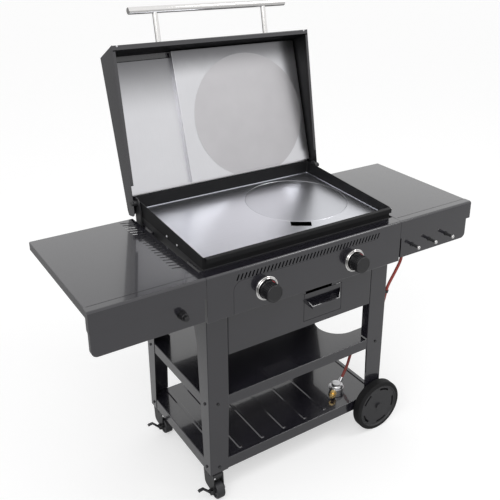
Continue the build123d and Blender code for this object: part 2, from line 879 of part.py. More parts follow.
# Liner and heat shield inside the roof
with BuildPart() as lid_liner:
    bends = (
        roof_point(60, sheet),
        roof_point(60, liner_gap + sheet),
        roof_point(roof_length - 20, liner_gap + sheet),
        roof_point(roof_length - 20, sheet),
    )
    liner_left = sheet + 7.5 - lid_half
    extrude(folded(lid_side(liner_left), bends, Side.RIGHT), amount=shield_right - liner_left)
save(lid_liner.part, "lid_liner")

shield_start = 70.0
shield_end = roof_length - 2
with BuildPart() as lid_heat_shield:
    roof_section = Plane(roof_start + roof_along * shield_start, x_dir=(1, 0, 0), z_dir=roof_along)
    bends = (
        (shield_left, -liner_gap - sheet),
        (shield_left, -shield_gap),
        (shield_right, -shield_gap),
        (shield_right, -liner_gap - sheet),
    )
    extrude(folded(roof_section, bends, Side.LEFT), amount=shield_end - shield_start)
    # A round field is pressed into the shield.
    roof_face = Plane(roof_start + roof_in * shield_gap, x_dir=(1, 0, 0), z_dir=roof_in)
    with BuildSketch(roof_face):
        with Locations((disc_x, disc_along)):
            Circle(disc_radius)
        with Locations(((shield_left + shield_right) / 2, (shield_start + shield_end) / 2)):
            width = shield_right - shield_left - 2 * bend
            Rectangle(width, shield_end - shield_start - 4, mode=Mode.INTERSECT)
    extrude(amount=0.8)
save(lid_heat_shield.part, "lid_heat_shield")

# Handle: a bar on two posts that stand on the lid's sloping front wall
handle_centre = pivot + along_u * handle_u + along_n * handle_n
handle_section = Plane(handle_centre, x_dir=along_u, z_dir=(1, 0, 0))
socket_floor = handle_u - 6.0
with BuildPart() as handle_bar:
    with BuildSketch(handle_section.offset(-handle_length / 2)):
        Circle(handle_radius)
    extrude(amount=handle_length)
    chamfer(handle_bar.edges().filter_by(GeomType.CIRCLE), length=1.5)
    for x in (-post_x, post_x):
        foot = pivot + along_u * (handle_u - 20) + along_n * handle_n + Vector(x, 0, 0)
        with BuildSketch(Plane(foot, x_dir=(1, 0, 0), z_dir=along_u)):
            Circle(post_radius + running_gap)
        extrude(amount=14, mode=Mode.SUBTRACT)
save(handle_bar.part, "handle_bar")

front_run = Vector(rim[0] - front_crown[0], rim[1] - front_crown[1]).normalized()
front_out = along_u * -front_run.Y + along_n * front_run.X
front_wall = Plane(pivot + along_u * rim[0] + along_n * rim[1], x_dir=(1, 0, 0), z_dir=front_out)
with BuildPart() as handle_posts:
    for x in (-post_x, post_x):
        foot = pivot + along_u * (rim[0] - 40) + along_n * handle_n + Vector(x, 0, 0)
        with BuildSketch(Plane(foot, x_dir=(1, 0, 0), z_dir=along_u)):
            Circle(post_radius)
        extrude(amount=socket_floor - rim[0] + 40)
    split(bisect_by=front_wall, keep=Keep.TOP)
save(handle_posts.part, "handle_posts")

# Hinge brackets on the rear legs and shoulder pins through the lid's cheeks
with BuildPart() as hinge_brackets:
    for side in (-1, 1):
        with BuildSketch(at_x(side * half_body)):
            with Locations((back(pivot_back - 13), leg_top - 30)):
                Rectangle(30, 60)
        extrude(amount=side * 2)
        with BuildSketch(at_x(side * (half_body + 2))):
            with Locations((back(pivot_back), pivot.Z)):
                Circle(18)
            with Locations((back(pivot_back - 10), leg_top - 10)):
                Rectangle(36, 100)
            make_hull()
        extrude(amount=side * 5)
save(hinge_brackets.part, "hinge_brackets")

with BuildPart() as hinge_pins:
    for side in (-1, 1):
        start = half_body + 7
        shoulder = (9, start, lid_half - sheet - 0.3)
        head = (8, lid_half + 0.3, lid_half + 6)
        steps = (shoulder, (5, start, lid_half + 1), head)
        for radius, near, far in steps:
            with BuildSketch(at_x(side * near)):
                with Locations((back(pivot_back), pivot.Z)):
                    Circle(radius)
            extrude(amount=side * (far - near))
save(hinge_pins.part, "hinge_pins")

# Grease drawer with a folded scoop pull, and the runners that carry it
drawer_face = back(leg_front)
tray_bottom = drawer_bottom + 5
tray_side = 2.0
with BuildPart() as grease_drawer:
    with BuildSketch(at_z(tray_bottom)):
        with Locations((drawer_width / 2, drawer_face + sheet + tray_depth / 2)):
            Rectangle(drawer_width - 2 * tray_side, tray_depth)
    extrude(amount=tray_height)
    offset(amount=-sheet, openings=grease_drawer.faces().sort_by(Axis.Z)[-1])
    with BuildSketch(at_y(drawer_face)):
        with Locations(drawer_middle):
            Rectangle(drawer_width, drawer_height)
    extrude(amount=-sheet)
    pull_low = drawer_bottom + 67
    pull_middle = drawer_width / 2 - 1.5
    pull_width = drawer_width - 9
    with BuildSketch(at_y(drawer_face)):
        with Locations((pull_middle, pull_low + 9)):
            Rectangle(pull_width, 18)
    with BuildSketch(at_y(drawer_face - pull_reach)):
        with Locations((pull_middle - 5, pull_low - 7.5)):
            Rectangle(pull_width - 34, 9)
    loft()
    with BuildSketch(at_y(drawer_face)):
        with Locations((pull_middle, pull_low + 10 + sheet)):
            Rectangle(pull_width - 2 * sheet, 20)
    with BuildSketch(at_y(drawer_face - pull_reach + sheet)):
        with Locations((pull_middle - 5, pull_low - 1)):
            Rectangle(pull_width - 34 - 2 * sheet, 20)
    loft(mode=Mode.SUBTRACT)
save(grease_drawer.part, "grease_drawer")

with BuildPart() as drawer_runners:
    for edge, turn in ((tray_side, 1), (drawer_width - tray_side, -1)):
        web = edge - turn * slide_gap
        low = tray_bottom - slide_gap
        with BuildSketch(at_y(back(64))):
            with Locations((web - turn * 7, firebox_floor - sheet / 2)):
                Rectangle(14, sheet)
            with Locations((web - turn * sheet / 2, (firebox_floor + low - sheet) / 2)):
                Rectangle(sheet, firebox_floor - low + sheet)
            with Locations((web + turn * 6, low - sheet / 2)):
                Rectangle(15, sheet)
        extrude(amount=14 - tray_depth)
save(drawer_runners.part, "drawer_runners")

# Bolt heads where the legs hold the shelves
bolt_rows = (mid_shelf_top - 19, bottom_shelf_top - 21)
with BuildPart() as frame_bolts:
    for side in (-1, 1):
        for end, face_y in ((-1, back(leg_front)), (1, back(leg_rear))):
            # The road wheels leave no room for the lower ones on the right.
            rows = bolt_rows if side < 0 else bolt_rows[:1]
            with BuildSketch(at_y(face_y)):
                with Locations([(side * (half_body - 34), z) for z in rows]):
                    RegularPolygon(bolt_across / 2, 8)
            extrude(amount=-end * bolt_head)
            with BuildSketch(at_x(side * half_body)):
                with Locations([(face_y - end * 27, z) for z in bolt_rows]):
                    RegularPolygon(bolt_across / 2, 8)
            extrude(amount=side * bolt_head)
save(frame_bolts.part, "frame_bolts")

# Road wheels on one axle through the right-hand legs
axle_front = back(leg_front - 1.5 - wheel_width)
axle_rear = back(leg_rear + 1.5 + wheel_width)
cap_front = axle_front + web_dish - 0.5
cap_rear = axle_rear - web_dish + 0.5
with BuildPart() as wheel_axle:
    with BuildSketch(at_y(cap_front - 2.5)):
        with Locations((wheel_x, axle_z)):
            Circle(axle_radius)
    extrude(amount=-(cap_rear - cap_front + 5))
save(wheel_axle.part, "wheel_axle")

with BuildPart() as axle_caps:
    for start, way in ((cap_front, 1), (cap_rear, -1)):
        with BuildSketch(at_y(start)):
            with Locations((wheel_x, axle_z)):
                Circle(12)
                Circle(axle_radius + running_gap, mode=Mode.SUBTRACT)
        extrude(amount=way * 2.5)
        with BuildSketch(at_y(start - way * 2.5)):
            with Locations((wheel_x, axle_z)):
                Circle(12)
        extrude(amount=way * 3)
save(axle_caps.part, "axle_caps")


def wheel_hub(start):
    with BuildPart() as hub:
        with BuildSketch(at_y(start)):
            with Locations((wheel_x, axle_z)):
                Circle(wheel_rim)
        extrude(amount=-wheel_width)
        # Both faces are dished inside the rim and pocketed near it.
        for face_y, way in ((start, -1), (start + wheel_width, 1)):
            with BuildSketch(at_y(face_y)):
                with Locations((wheel_x, axle_z)):
                    Circle(wheel_rim - 6)
            extrude(amount=way * web_dish, mode=Mode.SUBTRACT)
            with BuildSketch(at_y(face_y)):
                with Locations((wheel_x, axle_z)):
                    for number in range(web_pockets):
                        start_angle = 63 + number * 360 / web_pockets
                        SlotArc(CenterArc((0, 0), wheel_rim - 18, start_angle, 38), 8)
            extrude(amount=way * pocket_depth, mode=Mode.SUBTRACT)
        with BuildSketch(at_y(start - 1)):
            with Locations((wheel_x, axle_z)):
                Circle(axle_radius + running_gap)
        extrude(amount=-wheel_width - 2, mode=Mode.SUBTRACT)
    return hub.part


def wheel_tyre(start):
    with BuildPart() as tyre:
        with BuildSketch(at_y(start)):
            with Locations((wheel_x, axle_z)):
                Circle(wheel_radius)
        extrude(amount=-wheel_width)
        fillet(tyre.edges(), radius=6)
        with BuildSketch(at_y(start - 1)):
            with Locations((wheel_x, axle_z)):
                Circle(wheel_rim)
        extrude(amount=-wheel_width - 2, mode=Mode.SUBTRACT)
    return tyre.part


save(wheel_hub(axle_front), "front_wheel_hub")
save(wheel_tyre(axle_front), "front_wheel_tyre")
save(wheel_hub(axle_rear - wheel_width), "rear_wheel_hub")
save(wheel_tyre(axle_rear - wheel_width), "rear_wheel_tyre")

# Casters under the left-hand legs, trailing to the left
caster_places = (back(leg_front + caster_inset), back(leg_rear - caster_rear_inset))
fork_gap = caster_wheel_width / 2 + 1.8
fork_half = fork_gap + 3.0
crown = stem_plate - 4.4
brake_out = fork_half + 8.0
brake_half = 6.0

with BuildPart() as caster_stems:
    for end, place in ((-1, caster_places[0]), (1, caster_places[1])):
        near = back(leg_front + sheet) if end < 0 else back(leg_rear - sheet)
        plate_x = (-half_shelf + caster_x + 26) / 2
        far = place - end * 22
        with BuildSketch(at_z(stem_plate)):
            with Locations((plate_x, (near + far) / 2)):
                RectangleRounded(half_shelf + caster_x + 26, abs(far - near), corner)
        extrude(amount=-4)
        with BuildSketch(at_z(stem_plate - 4)):
            with Locations((caster_x, place)):
                Circle(6)
        extrude(amount=-20)
save(caster_stems.part, "caster_stems")


def caster_side(place):
    """Upright plane along the caster's trail, through its swivel; it faces left."""
    return Plane((caster_x, place, 0), x_dir=(0, -1, 0), z_dir=(-1, 0, 0))


def caster_across(place):
    """Upright plane across the caster, through its axle; sketch x runs left."""
    return Plane((caster_x, place - caster_trail, 0), x_dir=(-1, 0, 0), z_dir=(0, 1, 0))


def caster_fork(place):
    side = caster_side(place)
    across = caster_across(place)
    with BuildPart() as fork:
        with BuildSketch(side):
            with Locations((caster_trail, caster_wheel_radius)):
                Circle(10)
            with Locations((-14, caster_wheel_radius + 14)):
                Circle(16)
            with Locations((-2, crown - 8)):
                Rectangle(66, 16)
            make_hull()
        extrude(amount=fork_half, both=True)
        with BuildSketch(side):
            with Locations((0, (crown - 10) / 2)):
                Rectangle(160, crown - 10)
        extrude(amount=fork_gap, both=True, mode=Mode.SUBTRACT)
        with BuildSketch(at_z(crown)):
            with Locations((caster_x, place)):
                Circle(22)
        extrude(amount=-14)
        # Axle with its nut on the right, and two ears for the brake on the left
        with BuildSketch(side.offset(-fork_half - 6)):
            with Locations((caster_trail, caster_wheel_radius)):
                Circle(4)
        extrude(amount=2 * fork_half + 6)
        with BuildSketch(side.offset(-fork_half)):
            with Locations((caster_trail, caster_wheel_radius)):
                RegularPolygon(8, 6)
        extrude(amount=-5)
        for turn in (-1, 1):
            with BuildSketch(across.offset(turn * (brake_half + 0.4))):
                with Locations((brake_out, caster_wheel_radius)):
                    Circle(6)
                with Locations((fork_half + 2, caster_wheel_radius)):
                    Rectangle(4, 16)
                make_hull()
            extrude(amount=turn * 3)
        with BuildSketch(across):
            with Locations((brake_out, caster_wheel_radius)):
                Circle(2.5)
        extrude(amount=brake_half + 3, both=True)
        with BuildSketch(at_z(crown + 1)):
            with Locations((caster_x, place)):
                Circle(6 + running_gap)
        extrude(amount=-21, mode=Mode.SUBTRACT)
    return fork.part


def caster_wheel(place):
    middle = (caster_trail, caster_wheel_radius)
    with BuildPart() as wheel:
        with BuildSketch(caster_side(place)):
            with Locations(middle):
                Circle(caster_wheel_radius)
        extrude(amount=caster_wheel_width / 2, both=True)
        fillet(wheel.edges(), radius=5)
        # Each side is dished between the rim and the hub.
        for turn in (-1, 1):
            with BuildSketch(caster_side(place).offset(turn * caster_wheel_width / 2)):
                with Locations(middle):
                    Circle(caster_wheel_radius - 9)
            extrude(amount=-turn * 3, mode=Mode.SUBTRACT)
        with BuildSketch(caster_side(place)):
            with Locations(middle):
                Circle(9)
        extrude(amount=fork_gap - 0.3, both=True)
        with BuildSketch(caster_side(place)):
            with Locations(middle):
                Circle(4 + running_gap)
        extrude(amount=caster_wheel_width, both=True, mode=Mode.SUBTRACT)
    return wheel.part


def caster_brake(place):
    across = caster_across(place)
    with BuildPart() as brake:
        with BuildSketch(across):
            with Locations((brake_out, caster_wheel_radius)):
                Circle(5.5)
        extrude(amount=brake_half, both=True)
        # The lever rises from its barrel to a level toe plate.
        steps = ((1, 4), (26, 31), (41, 30.5), (46, 27), (44, 25), (39, 27), (29, 27), (5, 0))
        lever = [(brake_out + out, caster_wheel_radius + rise) for out, rise in steps]
        extrude(outline(across, lever), amount=brake_half - 0.5, both=True)
        with BuildSketch(across):
            with Locations((brake_out, caster_wheel_radius)):
                Circle(2.5 + running_gap)
        extrude(amount=20, both=True, mode=Mode.SUBTRACT)
    return brake.part


for place, name in zip(caster_places, ("front_left", "rear_left")):
    save(caster_fork(place), name + "_fork")
    save(caster_wheel(place), name + "_caster_wheel")
    save(caster_brake(place), name + "_brake")

# Gas hose from the elbow, past the right-hand front leg and through the
# middle shelf's bay down to the regulator
hose_radius = 5.5
hose_places = (
    (420, 27, 716),
    (420, 27, 690),
    (401, 35, 640),
    (378, 46, 582),
    (375, 50, 546),
    (382, 70, 484),
    (375, 102, 432),
    (357, 129, 391),
    (344, 142, 345),
    (336, 156, 298),
    (319, 160, 248),
    (299, 152, 206),
    (270, 145, 174),
)
hose_points = [Vector(x, back(y), z) for x, y, z in hose_places]


def bend_radii(points):
    """Largest bends that the straight runs leave room for."""
    radii = []
    for first, corner, last in zip(points, points[1:], points[2:]):
        turn = math.radians((corner - first).get_angle(last - corner))
        run = min((corner - first).length, (last - corner).length)
        radii.append(0.45 * run / math.tan(turn / 2))
    return radii


hose_bends = bend_radii(hose_points)
with BuildPart() as gas_hose:
    with BuildLine() as hose_path:
        FilletPolyline(*hose_points, radius=hose_bends)
    with BuildSketch(Plane(hose_points[0], z_dir=hose_points[1] - hose_points[0])):
        Circle(hose_radius)
    sweep()
save(gas_hose.part, "gas_hose")
hose_length = sum(edge.length for edge in hose_path.edges())
hose_volume = math.pi * hose_radius**2 * hose_length
print("hose bends", [round(radius) for radius in hose_bends])
print("hose volume", round(gas_hose.part.volume), "of", round(hose_volume))

# Clip that holds the hose beside the leg
clip_middle = (hose_points[3] + hose_points[4]) / 2
clip_axis = (hose_points[4] - hose_points[3]).normalized()
with BuildPart() as hose_clip:
    with BuildSketch(Plane(clip_middle - clip_axis * 5, x_dir=(0, 1, 0), z_dir=clip_axis)):
        Circle(hose_radius + 3)
    extrude(amount=10)
    with BuildSketch(at_x(half_body)):
        with Locations((clip_middle.Y, clip_middle.Z)):
            Rectangle(12, 10)
    extrude(amount=clip_middle.X - half_body)
    with BuildSketch(Plane(clip_middle - clip_axis * 15, x_dir=(0, 1, 0), z_dir=clip_axis)):
        Circle(hose_radius + 0.4)
    extrude(amount=30, mode=Mode.SUBTRACT)
save(hose_clip.part, "hose_clip")

# Regulator lying in the bottle pan, with the hose's ferrule and a union nut
regulator_base = bottom_shelf_top - recess_depth + sheet
regulator_middle = Vector(232, back(130), regulator_base)
ferrule_way = (hose_points[-1] - hose_points[-2]).normalized()
inlet_way = Vector(-0.8, -0.6, 0)
inlet_start = regulator_middle + Vector(0, 0, 19)
with BuildPart() as regulator:
    with BuildSketch(Plane(regulator_middle)):
        Circle(26)
    extrude(amount=34)
    fillet(regulator.faces().sort_by(Axis.Z)[-1].edges(), radius=12)
    with BuildSketch(Plane(regulator_middle + Vector(0, 0, 14))):
        Circle(29)
    extrude(amount=6)
    with BuildSketch(Plane(hose_points[-1], z_dir=ferrule_way)):
        Circle(7.5)
    extrude(amount=32)
    with BuildSketch(Plane(inlet_start, z_dir=inlet_way)):
        Circle(7)
    extrude(amount=42)
save(regulator.part, "regulator")

with BuildPart() as regulator_nut:
    with BuildSketch(Plane(inlet_start + inlet_way * 42, z_dir=inlet_way)):
        RegularPolygon(13, 6)
    extrude(amount=16)
    with BuildSketch(Plane(inlet_start + inlet_way * 58, z_dir=inlet_way)):
        Circle(8)
    extrude(amount=12)
save(regulator_nut.part, "regulator_nut")
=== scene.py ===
"""Looks for the gas grill with its griddle: finishes, small fittings, studio and camera."""

import json
import math

import bmesh
import bpy
from mathutils import Matrix, Vector


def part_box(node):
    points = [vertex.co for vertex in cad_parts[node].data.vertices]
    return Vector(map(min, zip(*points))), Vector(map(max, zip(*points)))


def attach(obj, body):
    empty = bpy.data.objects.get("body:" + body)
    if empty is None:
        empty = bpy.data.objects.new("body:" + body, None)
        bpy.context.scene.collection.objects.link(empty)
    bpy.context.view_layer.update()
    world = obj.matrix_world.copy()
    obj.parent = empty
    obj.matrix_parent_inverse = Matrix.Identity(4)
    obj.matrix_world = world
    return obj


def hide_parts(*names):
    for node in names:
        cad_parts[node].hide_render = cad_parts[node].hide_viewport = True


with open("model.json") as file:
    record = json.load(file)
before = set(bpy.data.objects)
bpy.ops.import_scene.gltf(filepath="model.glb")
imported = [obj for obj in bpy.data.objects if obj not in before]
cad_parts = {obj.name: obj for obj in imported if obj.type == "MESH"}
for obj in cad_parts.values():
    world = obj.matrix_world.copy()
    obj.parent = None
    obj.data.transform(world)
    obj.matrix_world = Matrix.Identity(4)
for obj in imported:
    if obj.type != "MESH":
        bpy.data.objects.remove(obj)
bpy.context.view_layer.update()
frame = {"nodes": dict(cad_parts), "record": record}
nodes = frame["nodes"]

# Front plane of the control panel, from the panel's own back edge
PANEL_DEPTH = 0.046
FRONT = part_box("control_panel")[1].y - PANEL_DEPTH


def back(distance):
    """World y of a point that many metres behind the front plane."""
    return FRONT + distance


class Value:
    """A socket that carries a number, so that shader maths reads as sums."""

    def __init__(self, socket):
        self.socket = socket

    def maths(self, operation, first, second=0.0):
        tree = self.socket.id_data
        step = tree.nodes.new("ShaderNodeMath")
        step.operation = operation
        for slot, term in zip(step.inputs, (first, second)):
            if isinstance(term, Value):
                tree.links.new(term.socket, slot)
            else:
                slot.default_value = term
        return Value(step.outputs[0])

    def __add__(self, other):
        return self.maths("ADD", self, other)

    def __sub__(self, other):
        return self.maths("SUBTRACT", self, other)

    def __rsub__(self, other):
        return self.maths("SUBTRACT", other, self)

    def __mul__(self, other):
        return self.maths("MULTIPLY", self, other)

    def __gt__(self, other):
        return self.maths("GREATER_THAN", self, other)

    def __lt__(self, other):
        return self.maths("LESS_THAN", self, other)

    __radd__ = __add__
    __rmul__ = __mul__


class Finish:
    """One material: its principled shader and the nodes that feed it."""

    def __init__(self, name, color, roughness, metallic=0.0, **sockets):
        self.material = bpy.data.materials.new(name)
        self.material.use_nodes = True
        self.tree = self.material.node_tree
        self.shader = self.tree.nodes["Principled BSDF"]
        self.set("Base Color", (*color, 1.0))
        self.set("Roughness", roughness)
        self.set("Metallic", metallic)
        for socket, value in sockets.items():
            self.set(socket.replace("_", " ").title().replace("Ior", "IOR"), value)

    def set(self, socket, value):
        slot = self.shader.inputs[socket]
        if isinstance(value, Value):
            self.tree.links.new(value.socket, slot)
        else:
            slot.default_value = value

    def node(self, kind, settings=None, sockets=None, output=0):
        """Add a node with its settings and the values or links of its sockets."""
        made = self.tree.nodes.new("ShaderNode" + kind)
        for key, value in (settings or {}).items():
            setattr(made, key, value)
        for key, value in (sockets or {}).items():
            slot = made.inputs[key]
            if isinstance(value, Value):
                self.tree.links.new(value.socket, slot)
            else:
                slot.default_value = value
        return Value(made.outputs[output])

    def place(self, scale=(1, 1, 1)):
        """Object coordinates, stretched for a pattern."""
        spot = self.node("TexCoord", output=3)
        return self.node("Mapping", sockets={"Vector": spot, "Scale": scale})

    def noise(self, size, spot=None, detail=3.0):
        """Noise from 0 to 1 whose blotches are about that size in metres."""
        spot = spot or self.place()
        return self.node("TexNoise", sockets={"Vector": spot, "Scale": 1 / size, "Detail": detail})

    def mix(self, factor, first, second):
        """Colour between two colours."""
        made = self.tree.nodes.new("ShaderNodeMix")
        made.data_type = "RGBA"
        for slot, term in zip((made.inputs[0], made.inputs[6], made.inputs[7]), (factor, first, second)):
            if isinstance(term, Value):
                self.tree.links.new(term.socket, slot)
            else:
                slot.default_value = term if isinstance(term, (int, float)) else (*term, 1.0)
        return Value(made.outputs[2])

    def bump(self, height, depth):
        """Relief of that many metres."""
        relief = self.node("Bump", sockets={"Height": height, "Distance": depth, "Strength": 1.0})
        self.set("Normal", relief)

    def along(self, way, origin=(0, 0, 0)):
        """Distance along a direction, in metres from a point."""
        spot = self.node("VectorMath", {"operation": "SUBTRACT"}, {0: self.place(), 1: origin})
        return self.node("VectorMath", {"operation": "DOT_PRODUCT"}, {0: spot, 1: way}, output=1)

    def facing(self, way):
        """How far the surface faces a direction, from -1 to 1."""
        normal = self.node("TexCoord", output=1)
        return self.node("VectorMath", {"operation": "DOT_PRODUCT"}, {0: normal, 1: way}, output=1)

    def fade(self, value, start, end):
        """Smooth step from 0 at the start to 1 at the end."""
        settings = {"interpolation_type": "SMOOTHSTEP"}
        return self.node("MapRange", settings, {"Value": value, "From Min": start, "From Max": end})

    def covered(self, mask, other):
        """Lay another finish over this one wherever the mask is 1."""
        blend = self.tree.nodes.new("ShaderNodeMixShader")
        over = self.tree.nodes.new("ShaderNodeBsdfPrincipled")
        for socket, value in other.items():
            slot = over.inputs[socket]
            if isinstance(value, Value):
                self.tree.links.new(value.socket, slot)
            else:
                slot.default_value = value
        self.tree.links.new(mask.socket, blend.inputs[0])
        self.tree.links.new(self.shader.outputs[0], blend.inputs[1])
        self.tree.links.new(over.outputs[0], blend.inputs[2])
        self.tree.links.new(blend.outputs[0], self.tree.nodes["Material Output"].inputs[0])


def matt_black(finish):
    """Sockets of a dull black coat with a fine grain."""
    grain = finish.noise(0.002)
    return {
        "Base Color": finish.mix(finish.noise(0.04), (0.006, 0.006, 0.0065), (0.012, 0.012, 0.013)),
        "Roughness": 0.42 + grain * 0.16,
        "Specular IOR Level": 0.18,
    }


def enamel(name="gloss_enamel", inner=None, depth=0.5):
    """Gloss black enamel: a faint ripple, dust and hazy patches under a clear skin.

    Faces that look along the inner direction get a dull coat instead.
    """
    finish = Finish(name, (0.012, 0.012, 0.013), 0.2, coat_weight=1.0, coat_roughness=0.06)
    if inner:
        finish.covered(finish.facing(inner) > depth, matt_black(finish))
    patches = finish.noise(0.09)
    dust = finish.noise(0.004, detail=2.0)
    finish.set("Roughness", 0.16 + patches * 0.08 + dust * 0.04)
    finish.set("Base Color", finish.mix(patches, (0.01, 0.0095, 0.0135), (0.016, 0.015, 0.0205)))
    finish.bump(finish.noise(0.003, detail=1.0), 0.000012)
    return finish.material


def frame_paint():
    """Plainer black paint on brackets and hidden metal."""
    finish = Finish("frame_paint", (0.025, 0.025, 0.027), 0.4)
    grain = finish.noise(0.002)
    finish.set("Roughness", 0.32 + grain * 0.15)
    finish.set("Base Color", finish.mix(finish.noise(0.05), (0.02, 0.02, 0.021), (0.032, 0.032, 0.034)))
    finish.bump(grain, 0.00003)
    return finish.material


def brushed(name, color, roughness, stretch, spread=0.1, deep=0.000012):
    """Brushed metal: long fine scratches in one direction and soft smudges."""
    finish = Finish(name, color, roughness, metallic=1.0)
    lines = finish.noise(0.0012, finish.place(scale=stretch), detail=4.0)
    smudge = finish.noise(0.07)
    darker = tuple(part * 0.86 for part in color)
    finish.set("Base Color", finish.mix(lines * 0.6 + smudge * 0.4, darker, color))
    finish.set("Roughness", roughness - spread / 2 + lines * spread * 0.6 + smudge * spread * 0.4)
    finish.bump(lines, deep)
    return finish.material


def griddle_finish(tilt, corner, half_width, depth):
    """Brushed plate inside dull black walls: the plate's own rectangle is bare steel."""
    finish = Finish("griddle_finish", (0.8, 0.81, 0.85), 0.2, metallic=1.0)
    across = finish.along((1, 0, 0), corner)
    deep = finish.along((0, math.cos(tilt), math.sin(tilt)), corner)
    high = finish.along((0, -math.sin(tilt), math.cos(tilt)), corner)
    plate = (high > -0.0006) * (high < 0.0018) * (across > -half_width) * (across < half_width)
    plate = plate * (deep > 0.0026) * (deep < depth)
    lines = finish.noise(0.0016, finish.place(scale=(0.01, 1, 1)), detail=4.0)
    smudge = finish.noise(0.08)
    steel = finish.mix(lines * 0.7 + smudge * 0.3, (0.64, 0.65, 0.69), (0.74, 0.75, 0.79))
    finish.set("Base Color", steel)
    finish.set("Roughness", 0.25 + lines * 0.06 + smudge * 0.05)
    finish.bump(lines, 0.000003)
    finish.covered(1 - plate, matt_black(finish))
    return finish.material


def moulded(name, color, roughness, grain=0.0012, deep=0.00004, **sockets):
    """Moulded plastic or rubber with a fine grain and worn, paler patches."""
    finish = Finish(name, color, roughness, **sockets)
    spark = finish.noise(grain, detail=2.0)
    wear = finish.noise(0.03)
    paler = tuple(part * 1.5 + 0.004 for part in color)
    finish.set("Base Color", finish.mix(wear * 0.5, color, paler))
    finish.set("Roughness", roughness - 0.06 + spark * 0.1 + wear * 0.05)
    finish.bump(spark, deep)
    return finish.material


def polished(name, color, roughness):
    """Polished or cast metal with light smears."""
    finish = Finish(name, color, roughness, metallic=1.0)
    smear = finish.noise(0.012)
    finish.set("Roughness", roughness + smear * 0.08)
    darker = tuple(part * 0.9 for part in color)
    finish.set("Base Color", finish.mix(smear, darker, color))
    finish.bump(finish.noise(0.002), 0.000006)
    return finish.material


finishes = {
    "enamel": enamel(),
    "frame_paint": frame_paint(),
    "griddle_steel": brushed("griddle_steel", (0.66, 0.67, 0.71), 0.31, (0.04, 1, 1), 0.1, 0.00001),
    "liner_steel": brushed("liner_steel", (0.7, 0.7, 0.71), 0.3, (1, 0.02, 0.02)),
    "bright_steel": polished("bright_steel", (0.82, 0.81, 0.8), 0.08),
    "plain_steel": brushed("plain_steel", (0.5, 0.5, 0.5), 0.4, (1, 0.05, 1)),
    "knob_plastic": moulded("knob_plastic", (0.01, 0.01, 0.011), 0.24),
    "wheel_plastic": moulded("wheel_plastic", (0.018, 0.018, 0.02), 0.42),
    "tyre_rubber": moulded("tyre_rubber", (0.005, 0.005, 0.0055), 0.65, specular_ior_level=0.25),
    "zinc": polished("zinc", (0.66, 0.66, 0.67), 0.26),
    "brass": polished("brass", (0.78, 0.56, 0.24), 0.22),
    "hose_rubber": moulded("hose_rubber", (0.3, 0.045, 0.035), 0.4),
}
for part in frame["record"]["subparts"]:
    skin = nodes[part["node"]].data
    skin.materials.clear()
    skin.materials.append(finishes[part["material_slot"]])


def lid_steel(name, shade_start, disc=None):
    """Brushed sheet inside the lid: painted shade darkens its top, and a disc of it is pressed dull."""
    finish = Finish(name, (0.7, 0.7, 0.71), 0.3, metallic=1.0)
    lines = finish.noise(0.0012, finish.place(scale=(1, 0.02, 0.02)), detail=4.0)
    smudge = finish.noise(0.09)
    # Painted shade: the colour darkens up along the roof, towards the top of the open lid.
    high = finish.along(ROOF_ALONG, ROOF_FOOT) + smudge * 0.02
    painted_roof_shade = finish.fade(high, shade_start, 0.53)
    clean = finish.mix(lines * 0.5 + smudge * 0.5, (0.6, 0.6, 0.62), (0.71, 0.71, 0.735))
    roof_shaded = finish.mix(painted_roof_shade * 0.85, clean, (0.1, 0.1, 0.105))
    roughness = 0.24 + lines * 0.06 + smudge * 0.05
    if disc:
        reach = finish.node("VectorMath", {"operation": "DISTANCE"}, {0: finish.place(), 1: disc}, output=1)
        dull = 1 - finish.fade(reach, 0.228, 0.231)
        pressed = finish.mix(smudge, (0.5, 0.49, 0.505), (0.58, 0.57, 0.585))
        # Painted shade darkens the pressed disc too, towards the top.
        pressed = finish.mix(painted_roof_shade * 0.4, pressed, (0.2, 0.2, 0.21))
        roof_shaded = finish.mix(dull, roof_shaded, pressed)
        roughness = roughness + dull * 0.16
    finish.set("Base Color", roof_shaded)
    finish.set("Roughness", roughness)
    finish.bump(lines, 0.000012)
    return finish.material


# Roof of the open lid: its foot above the hinge and the way up along it
ROOF_FOOT = (0, back(0.5427), 0.8589)
ROOF_ALONG = (0, 0.279, 0.960)
INTO_LID = (0, -0.467, -0.885)
OUT_OF_RIM = (0, -0.982, 0.191)
nodes["lid_top"].data.materials[0] = enamel("lid_roof_enamel", INTO_LID)
nodes["lid_left_side"].data.materials[0] = enamel("lid_left_enamel", (1, 0, 0))
nodes["lid_right_side"].data.materials[0] = enamel("lid_right_enamel", (-1, 0, 0))
nodes["lid_liner"].data.materials[0] = lid_steel("lid_liner_steel", 0.33)
shield_disc = (0.137, back(0.5945), 1.1301)
nodes["lid_heat_shield"].data.materials[0] = lid_steel("lid_shield_steel", 0.44, shield_disc)
nodes["hinge_pins"].data.materials[0] = finishes["frame_paint"]
plate_corner = (0, back(0.046), 0.862)
nodes["griddle_pan"].data.materials[0] = griddle_finish(math.radians(2), plate_corner, 0.3624, 0.4854)

# Gas hose: the route's points, smoothed by one spline
HOSE_PLACES = (
    (420, 27, 716),
    (420, 27, 690),
    (401, 35, 640),
    (378, 46, 582),
    (375, 50, 546),
    (382, 70, 484),
    (375, 102, 432),
    (357, 129, 391),
    (344, 142, 345),
    (336, 156, 298),
    (319, 160, 248),
    (299, 152, 206),
    (270, 145, 174),
)
HOSE_DIAMETER = 0.011


